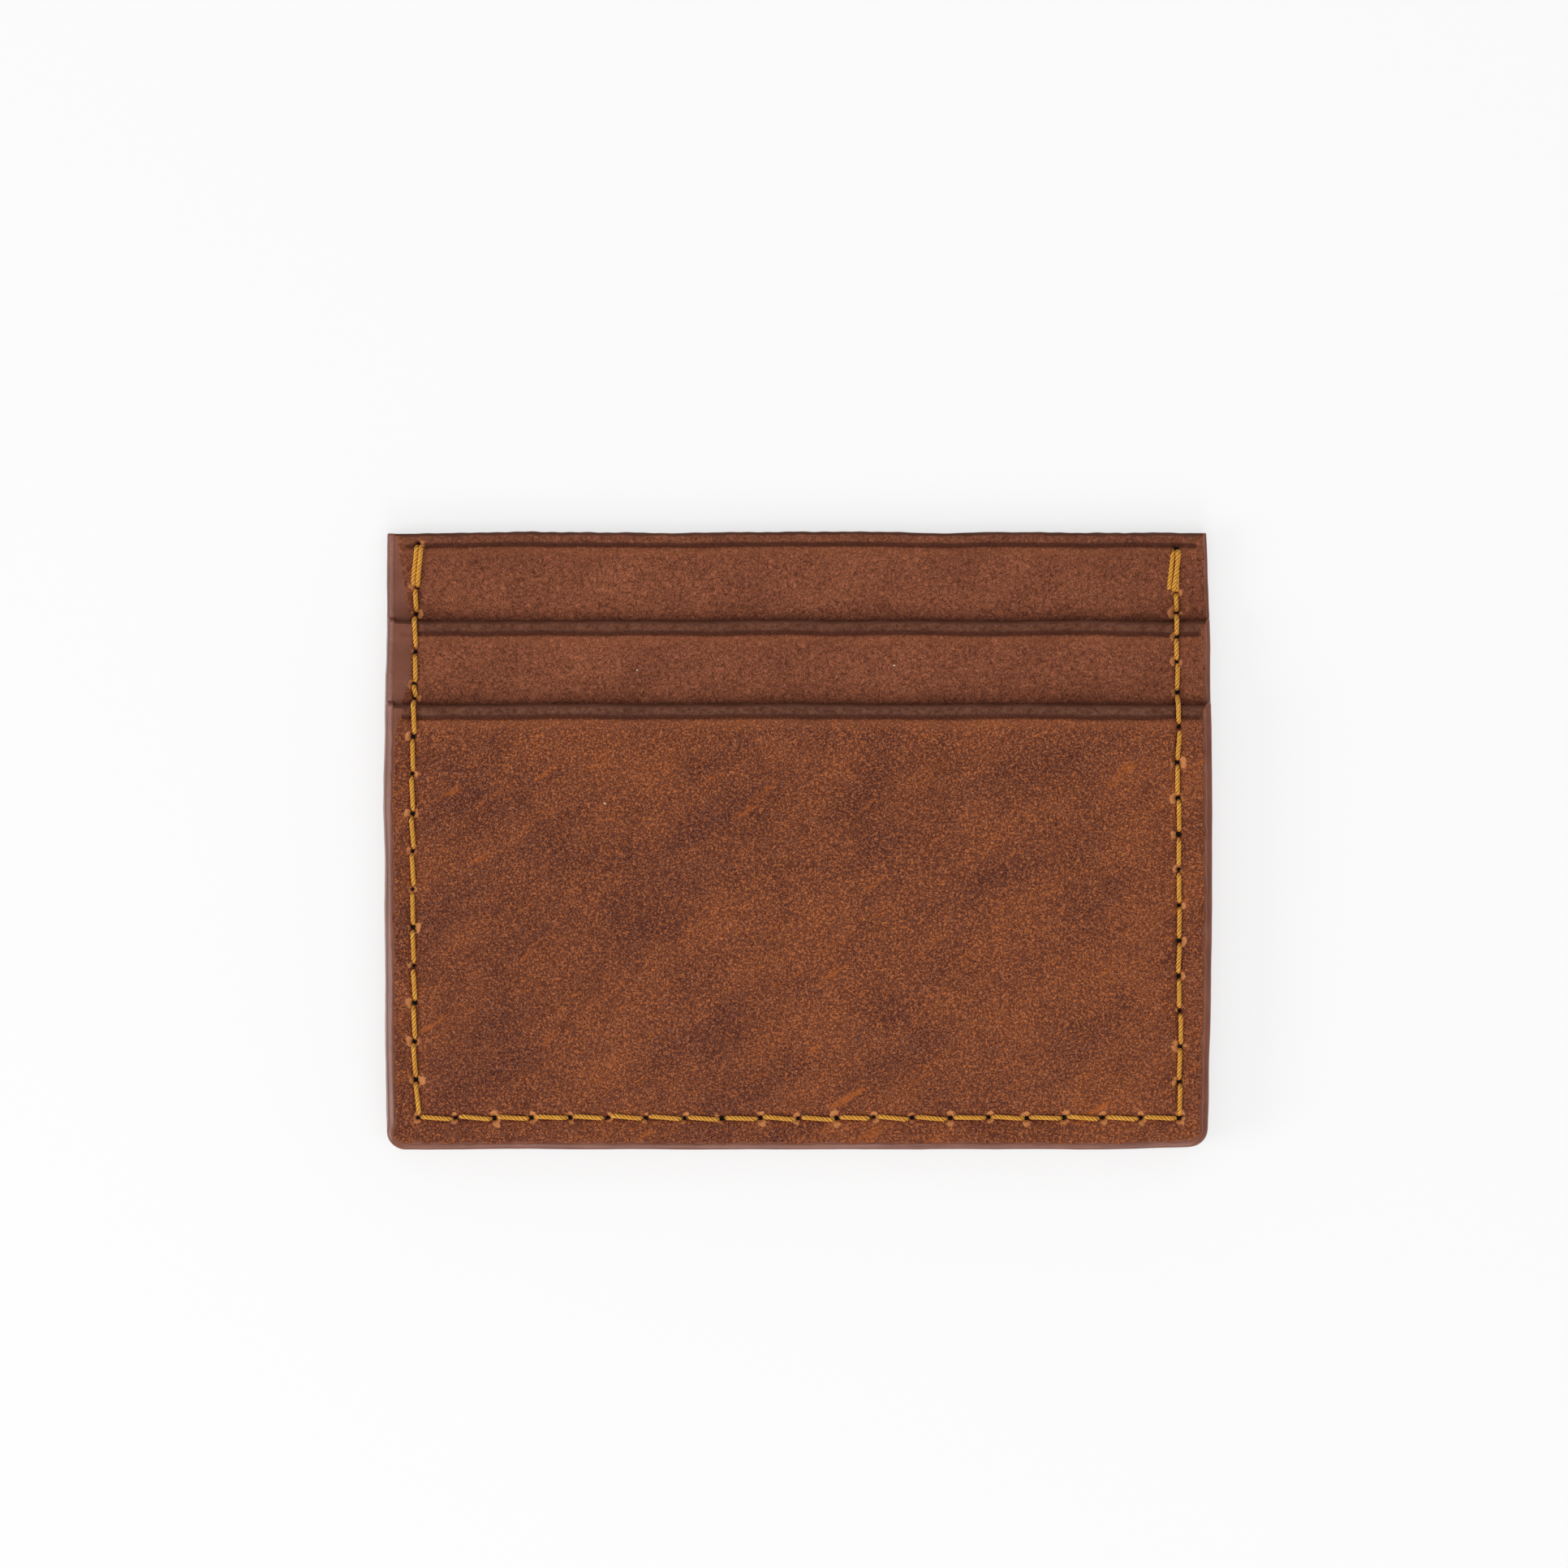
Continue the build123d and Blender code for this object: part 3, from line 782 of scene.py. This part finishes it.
def rim_rows(mouth, seen_from=BOTTOM):
    """Grid rows: following the bottom corners' arc, coarse where hidden, close at the crease and lip."""
    radius, hidden_step = CORNER - PAINT, 3.0
    rows = [BOTTOM + PAINT + radius * (1 - math.cos(math.radians(turn))) for turn in range(0, 91, 10)]
    if seen_from > rows[-1]:
        rows += list(np.arange(rows[-1] + hidden_step, seen_from - hidden_step / 2, hidden_step))
    above_crease, inside_lip, lip = mouth - 2.3, mouth - 0.9, mouth - 0.4
    spans = (above_crease, inside_lip, 0.11), (inside_lip, lip, 0.17), (lip, mouth, 0.05)
    return np.array(rows + list(lines((rows[-1], above_crease, GRID), *spans)[1:]))


def front_layer(name, material, covered_to=BOTTOM):
    """A panel of the front, coarser up to where the next panel covers it."""
    panel(
        name,
        rim_rows(LAYERS[name][2], covered_to - 1),
        lambda x, y: seam_cells(x, y) & (y > covered_to),
        lambda x, y: front_height(name, x, y),
        lambda x, y: LAYERS[name][0] + body_height(name, x, y),
        True,
        material,
    )


def flat_inside(x, y):
    """The back panel's inner side."""
    return np.full(len(x), LAYERS["back_panel"][1])


front_layer("front_pocket", POCKET_LEATHER)
front_layer("upper_pocket", UPPER_LEATHER, POCKET_MOUTH - 1)
front_layer("front_panel", TOP_LEATHER, UPPER_MOUTH - 1)
panel("back_panel", rim_rows(TOP), seam_cells, back_height, flat_inside, False, BACK_LEATHER)


# ---- Rim paint ----
STATION = 0.45  # spacing of sections along the paint
JOINS = (0.9, 1.72, 2.52, 3.34, 4.04, 4.86)  # heights where two layers meet and the paint swells
BACK_Z = 0.5  # where the side of the bead turns in under the back


def tube_of(rings):
    """Points and faces over equal rings of points, each ring a closed loop, with both ends closed."""
    count, size = rings.shape[:2]
    ids = np.arange(count * size).reshape(count, size).tolist()
    faces = []
    for a, b in zip(ids, ids[1:]):
        faces += [(a[k - 1], a[k], b[k], b[k - 1]) for k in [*range(1, size), 0]]
    faces += [ids[0][::-1], ids[-1]]
    return rings.reshape(-1, 3), faces


def outline_stations():
    """Points along the painted rim: down the left, round the corners, along the bottom, up the right."""
    mouths = np.concatenate([np.arange(-0.3, 0.61, 0.1) + m for m in (POCKET_MOUTH, UPPER_MOUTH)])
    ends = np.array((0.4, 0.3, 0.2, 0.12, 0.05, 0.0))
    turn = np.radians(np.arange(9, 90, 9))
    sides, corners, feet = [], [], []
    for edge, sign in ((left_edge, 1), (right_edge, -1)):
        low = bottom_edge(edge(BOTTOM + CORNER)).item() + CORNER
        top = mouth_edge(-sign * HALF_WIDTH, TOP).item() + 0.04
        ys = np.unique(np.concatenate((np.arange(low, top - 0.5, STATION), mouths, top - ends)))
        sides.append(np.column_stack((edge(ys), ys)))
        foot = edge(low).item()
        arc_x = foot + sign * CORNER * (1 - np.cos(turn))
        corners.append(np.column_stack((arc_x, low - CORNER * np.sin(turn))))
        feet.append(foot + sign * CORNER)
    xs = np.arange(feet[0], feet[1], STATION)
    bottom = np.column_stack((xs, bottom_edge(xs)))
    return np.vstack((sides[0][::-1], corners[0], bottom, corners[1][::-1], sides[1]))


def rim_piece():
    """The bead of edge paint: a C-shaped section wrapped over the front, the sides and the back."""
    line = outline_stations()
    ahead = unit(np.gradient(line, axis=0))
    inward = np.column_stack((-ahead[:, 1], ahead[:, 0]))
    along = run_length(line)
    x, y = line.T
    near = line + inward * 0.6
    radius = rim_radius(near[:, 0], near[:, 1])
    lean = rim_lean(near[:, 0], near[:, 1])
    reach = np.maximum(lean + 0.75 * radius, 0.5) + 0.06 * ripple_1d(along, 81, 6, 1.5)
    sections = []
    for share in (1.0, 0.9, 0.78, 0.66, 0.54, 0.43, 0.33, 0.24, 0.16, 0.09, 0.04, 0.01):
        n = lean + (reach - lean) * share
        at = line + inward * n[:, None]
        brushed = 0.03 * ripple(np.column_stack((n, along * 0.06)), 84, 1.6, 0.5)
        z = paint_height(at[:, 0], at[:, 1]) + 0.05 + brushed
        if share == 1.0:
            z = z - 0.09
        sections.append((n, z))
    front_z = sections[-1][1]
    for t in np.linspace(0.03, 1, 26):
        z = front_z + (BACK_Z - front_z) * t
        n = lean * (1 - smooth(t, 0.0, 0.75))
        for join in JOINS:
            above = z - join - 0.05 * ripple_1d(along, int(join * 100), 20, 5)
            n = n + 0.05 * np.exp(-((above / 0.13) ** 2))
        n = n + 0.025 * ripple(np.column_stack((along, z * 3)), 82, 9, 2.5)
        sections.append((n, z))
    for share in (0.05, 0.12, 0.22, 0.35, 0.5, 0.68, 0.85, 1.0):
        n = share * (0.95 + 0.08 * ripple_1d(along, 83, 8, 2))
        at = line + inward * n[:, None]
        z = back_height(at[:, 0], at[:, 1]) - 0.04
        z = np.minimum(z, BACK_Z - 0.01)
        if share == 1.0:
            z = z + 0.07
        sections.append((n, np.maximum(z, 0.0)))
    sections.append((0 * along + 0.75, 0 * along + 0.6))
    sections.append((lean + 0.45, np.maximum(front_z - 0.3, 0.7)))
    rings = np.array(
        [np.column_stack((x + inward[:, 0] * n, y + inward[:, 1] * n, z)) for n, z in sections]
    ).transpose(1, 0, 2)
    middle = rings.mean(axis=1)  # both ends of the bead are rounded off
    for end, shrink in ((0, 0.8), (1, 0.9), (2, 0.96)):
        for k in (end, len(rings) - 1 - end):
            for axis in (0, 2):
                rings[k, :, axis] = middle[k, axis] + (rings[k, :, axis] - middle[k, axis]) * shrink
    points, faces = tube_of(rings)
    make_piece("edge_paint_bead", points, faces, "edge_paint", [EDGE_PAINT])


rim_piece()


def lip_piece(layer, name):
    """The paint on one mouth's cut edge, lapping a little over both faces."""
    base, top, mouth = LAYERS[layer]
    is_back = layer == "back_panel"
    xs = np.arange(-HALF_WIDTH + 0.7, HALF_WIDTH - 0.69, STATION)
    edge = mouth_edge(xs, mouth)
    seed = 90 + int(mouth) + is_back
    wobble = 0.04 * ripple_1d(xs, seed, 12, 2)
    sections = []
    lap = 0.42 + 0.1 * ripple_1d(xs, seed + 5, 7, 1.5)
    for share in (1.0, 0.75, 0.52, 0.34, 0.2, 0.1, 0.03, 0.0):
        y = edge - lap * share
        if is_back:
            z = np.full(len(xs), top) - 0.2 * (1 - share) ** 3
        else:
            z = front_height(layer, xs, y) + 0.025 - (0.05 if share == 1.0 else 0)
        sections.append((y + wobble * (1 - share), z))
    low = base + (np.full(len(xs), 0.08) if is_back else body_height(layer, xs, edge))
    high = sections[-1][1]
    for share in (0.25, 0.5, 0.75):
        bulge = 0.03 * math.sin(share * math.pi)
        sections.append((edge + wobble + bulge, high + (low + 0.12 - high) * share))
    for back, lift in ((0.02, 0.05), (0.1, -0.01), (0.3, -0.02), (0.38, 0.06)):
        sections.append((edge + wobble - back, low + lift))
    sections.append((edge - 0.3, low + 0.2))
    sections.append((edge - 0.3, high - 0.1))
    rings = np.array([np.column_stack((xs, y, z)) for y, z in sections]).transpose(1, 0, 2)
    points, faces = tube_of(rings[:, ::-1])
    make_piece(name + "_bead", points, faces, name + "_paint", [MOUTH_PAINT])


for layer, name in zip(LAYERS, ("back_mouth", "front_mouth", "upper_mouth", "pocket_mouth")):
    lip_piece(layer, name)


# ---- Filler strips ----
FILLER_INSET = 0.4  # the strips stop short of the painted outline


def filler_piece(node):
    """A skived strip with a hand-cut inner edge."""
    low, high = cad_box(node)
    along_x = high[0] - low[0] > high[1] - low[1]
    long_axis, wide_axis = (0, 1) if along_x else (1, 0)
    count = max(8, int((high[long_axis] - low[long_axis]) / GRID))
    t = np.linspace(low[long_axis] + 0.25, high[long_axis] - 0.25, count)
    inner_high = along_x or high[0] < 0
    seed = 100 + int(low[0] + 3 * low[2])
    cut = 0.1 * ripple_1d(t, seed, 14, 3)
    toward = 1 if inner_high else -1
    inner = (high[wide_axis] if inner_high else low[wide_axis]) + cut - toward * 0.1
    if along_x:
        outer = bottom_edge(t) + FILLER_INSET
    else:
        radius = CORNER - FILLER_INSET
        t = np.maximum(t, bottom_edge(-toward * HALF_WIDTH).item() + FILLER_INSET)
        up = np.clip(radius - (t - t[0]), 0, radius)
        arc = radius - np.sqrt(radius**2 - up**2)
        outer = (left_edge(t) if inner_high else right_edge(t)) + toward * (FILLER_INSET + arc)
    z0, z1 = low[2] + 0.01, high[2] - 0.01
    upper = [(0, z1 - 0.1), (0.03, z1), (0.5, z1), (0.96, z1), (1, z1 - 0.12)]
    lower = [(1, z0 + 0.12), (0.96, z0), (0.5, z0), (0.03, z0)]
    section = [(0, z0 + 0.1)] + upper + lower
    rings = np.zeros((count, len(section), 3))
    for k, (share, z) in enumerate(section):
        rings[:, k, long_axis] = t
        rings[:, k, wide_axis] = outer + (inner - outer) * share
        rings[:, k, 2] = z
    if along_x == inner_high:
        rings = rings[:, ::-1]  # so that the faces look outwards on this side too
    points, faces = tube_of(rings)
    make_piece(node + "_strip", points, faces, node, [BOARD])


for pocket in ("centre", "upper", "lower"):
    for side in ("left", "right", "bottom"):
        filler_piece(f"{pocket}_filler_{side}")


# ---- Thread ----
PLIES = 3
PLY_RADIUS = 0.155
PLY_OFFSET = 0.15  # of a ply's middle from the thread's
TWIST = 1.5  # length of one turn of the twist
PLY_SIDES = 7
RING_SPACING = 0.11
LOCK_GAPS = (0.33, 0.33)  # a doubled stitch's visible ends to the middles of its holes
BACK_GAPS = (0.16, 0.16)
FRONT_LIFT = 0.07  # the thread's middle above the leather
FRONT_DIVE, BACK_DIVE = -1.2, 0.6  # how far a stitch's ends go into their holes
END_DIP = 0.42  # how far it has sunk where it enters them
END_LEAN = 0.28  # how far its ends slant on the way in
BOBBIN_Z = 0.31  # height of the thread's middle on the back


def upper_hull(a, z):
    """A taut thread's height over uneven ground."""
    keep = []
    for point in zip(a, z):
        while len(keep) > 1:
            (x0, y0), (x1, y1) = keep[-2:]
            if (x1 - x0) * (point[1] - y0) >= (y1 - y0) * (point[0] - x0):
                keep.pop()
            else:
                break
        keep.append(point)
    kx, kz = zip(*keep)
    return np.interp(a, kx, kz)


def spline(points):
    """An even run of points along a cubic B-spline whose ends are held."""
    p = np.vstack((points[0], points[0], points, points[-1], points[-1]))
    out = []
    for i in range(len(p) - 3):
        for t in np.linspace(0, 1, 12, endpoint=False):
            inner = 3 * t**3 - 6 * t**2 + 4, -3 * t**3 + 3 * t**2 + 3 * t + 1
            out.append(np.array(((1 - t) ** 3, *inner, t**3)) / 6 @ p[i : i + 4])
    out = np.array(out + [p[-1]])
    run = run_length(out)
    even = np.linspace(0, run[-1], max(4, int(run[-1] / RING_SPACING)))
    return np.column_stack([np.interp(even, run, out[:, k]) for k in range(3)])


def twisted(path, phase):
    """A twisted thread along a path: its rings' points, and along, around, ply and valley for each."""
    tangent = unit(np.gradient(path, axis=0))
    run = run_length(path)
    normal = np.cross(tangent[0], (0.3, 0.4, 0.86))
    normal /= np.linalg.norm(normal)
    normals = [normal]
    for t in tangent[1:]:
        normal = normal - t * (normal @ t)
        normal /= np.linalg.norm(normal)
        normals.append(normal)
    normals = np.array(normals)
    binormals = np.cross(tangent, normals)
    parts = []
    for ply in range(PLIES):
        turn = phase + 2 * math.pi * (run / TWIST + ply / PLIES)
        out = normals * np.cos(turn)[:, None] + binormals * np.sin(turn)[:, None]
        centre = path + out * PLY_OFFSET
        lean = unit(np.gradient(centre, axis=0))
        side = unit(np.cross(lean, out))
        up = np.cross(side, lean)
        ring = []
        for k in range(PLY_SIDES):
            angle = 2 * math.pi * k / PLY_SIDES
            ring.append(centre + PLY_RADIUS * (up * math.cos(angle) + side * math.sin(angle)))
        rings = np.array(ring).transpose(1, 0, 2)
        around = np.tile(np.arange(PLY_SIDES) / PLY_SIDES, len(path))
        away = np.cos(2 * math.pi * around)
        parts.append((rings, np.repeat(run, PLY_SIDES), around, np.full(len(around), float(ply)), away))
    return parts


def thread_piece(name, node, paths):
    points, faces, total = [], [], 0
    data = {"along": [], "around": [], "ply": [], "valley_shade": []}
    rng = np.random.default_rng(7)
    for path in paths:
        phase = rng.random() * 2 * math.pi
        for rings, along, around, ply, away in twisted(path, phase):
            p, f = tube_of(rings)
            points.append(p)
            faces += [tuple(v + total for v in face) for face in f]
            total += len(p)
            data["along"].append(along + phase * 5)
            data["around"].append(np.abs(around * 2 - 1))
            data["ply"].append(ply * 7 + phase)
            # painted shade on each ply's side that faces into the twist
            data["valley_shade"].append(smooth(-away, -0.75, 0.1) * 0.9)
    data = {key: np.concatenate(value) for key, value in data.items()}
    make_piece(name, np.vstack(points), faces, node, [THREAD], None, data)


def stitch(start, end, from_side, to_side, front, lift, gaps):
    """One stitch's path, from deep in one hole, over the leather, to deep in the next. Its ends may lie
    to the sides of the holes."""
    start, end = np.array(start), np.array(end)
    length = np.linalg.norm(end - start)
    ahead = (end - start) / length
    across = np.array((-ahead[1], ahead[0]))
    first_gap, last_gap = gaps if front else BACK_GAPS
    a = np.linspace(first_gap, length - last_gap, max(5, int(length / 0.22)))
    offset = from_side + (to_side - from_side) * a / length
    xy = start + ahead * a[:, None] + across * offset[:, None]
    if front:
        z = stack_height(xy[:, 0], xy[:, 1]) + FRONT_LIFT + lift
        z[[0, -1]] -= END_DIP
        z[[1, -2]] -= 0.05
        z = upper_hull(a, z)
        dive, lean = FRONT_DIVE, END_LEAN
    else:
        z = np.full(len(a), BOBBIN_Z - lift)
        z[[0, -1]] += 0.2
        dive, lean = BACK_DIVE, 0.0
    middle = np.column_stack((xy, z))
    back = np.array((*ahead, 0)) * lean
    first, last = middle[0], middle[-1]
    head = [first - back * k + (0, 0, dive * k) for k in (1.0, 0.6, 0.25)]
    tail = [last + back * k + (0, 0, dive * k) for k in (0.25, 0.6, 1.0)]
    return spline(np.vstack((head, middle, tail)))


# The strands of the two doubled stitches: how far each lies to the side at its start and at its end,
# and how far it is lifted.
LEFT_STRANDS = (-0.16, -0.5, 0.0), (0.38, 0.08, 0.16)
RIGHT_STRANDS = (-0.4, -0.88, 0.0), (0.36, -0.34, 0.24), (0.1, 0.08, 0.0)
SMEARED = 2  # the left stitch that is sunk under smeared paint


def seam_paths(front):
    """Every stitch of the seam, with its doubled first stitches. Tilt is how far the stitches of a row
    lie across it."""
    rng = np.random.default_rng(8)
    paths = []
    for holes, tilt, strands in (
        (left_holes, 0.11, LEFT_STRANDS),
        (bottom_holes, -0.16, ()),
        (right_holes, -0.05, RIGHT_STRANDS),
    ):
        for k, (start, end) in enumerate(zip(holes, holes[1:])):
            if k == 0 and strands:
                for *sides, lift in strands:
                    paths.append(stitch(start, end, *sides, front, lift if front else 0.0, LOCK_GAPS))
                continue
            jitter = rng.normal(0, 0.06, 2)
            gaps = rng.uniform(0.5, 0.66, 2) * min(1, np.linalg.norm(end - start) / 4)
            sunk = -0.2 if front and holes is left_holes and k == SMEARED else 0.0
            paths.append(stitch(start, end, -tilt + jitter[0], tilt + jitter[1], front, sunk, gaps))
    return paths


thread_piece("needle_thread_twist", "needle_thread", seam_paths(True))
thread_piece("bobbin_thread_twist", "bobbin_thread", seam_paths(False))


# ---- Floor, light and camera ----
def floor():
    """A pale table. It glows a little, so that the holder's shadow on it stays faint."""
    size = 4.0
    mesh = bpy.data.meshes.new("floor")
    corners = [(-size, -size, 0), (size, -size, 0), (size, size, 0), (-size, size, 0)]
    mesh.from_pydata(corners, [], [(0, 1, 2, 3)])
    plane = bpy.data.objects.new("floor", mesh)
    plane.location.z = -0.3 * MM
    bpy.context.scene.collection.objects.link(plane)
    g = Graph("floor")
    glow = {"Emission_Color": (1, 1, 1, 1), "Emission_Strength": 0.648}
    matt = {"Roughness": 1.0, "Specular_IOR_Level": 0.0}
    mesh.materials.append(g.finish(Base_Color=(0.32, 0.32, 0.32, 1), **matt, **glow))


floor()
scene = bpy.context.scene
world = bpy.data.worlds.new("studio")
world.use_nodes = True
sky = world.node_tree.nodes["Background"].inputs
sky["Color"].default_value = (1, 1, 1, 1)
sky["Strength"].default_value = 0.6
scene.world = world
scene.view_settings.view_transform = "Standard"
scene.view_settings.look = "None"


def soft_light(name, place, size, power):
    """A square light box aimed at the holder. Sizes in metres, power in watts."""
    lamp = bpy.data.lights.new(name, "AREA")
    lamp.shape = "SQUARE"
    lamp.size = size
    lamp.energy = power
    light = bpy.data.objects.new(name, lamp)
    light.location = place
    aim = -light.location
    light.rotation_euler = aim.to_track_quat("-Z", "Y").to_euler()
    scene.collection.objects.link(light)


soft_light("key", (0.1, -0.35, 1.5), 1.1, 5.2)
soft_light("left_rim", (-0.9, -0.2, 0.45), 0.5, 3.6)
soft_light("bottom_rim", (0.1, -0.9, 0.5), 0.5, 2.2)

VIEW_HEIGHT = 0.9  # camera above the table, in metres
VIEW_WIDTH = 0.1892  # of what it sees at the height of the leather
LEATHER_Z = 0.003
SENSOR = 36
lens = bpy.data.cameras.new("camera")
lens.sensor_width = SENSOR
lens.lens = SENSOR * (VIEW_HEIGHT - LEATHER_Z) / VIEW_WIDTH
lens.clip_start = 0.05
lens.clip_end = 20
camera = bpy.data.objects.new("camera", lens)
camera.location = (-0.00171, 0.00686, VIEW_HEIGHT)
scene.collection.objects.link(camera)
scene.camera = camera
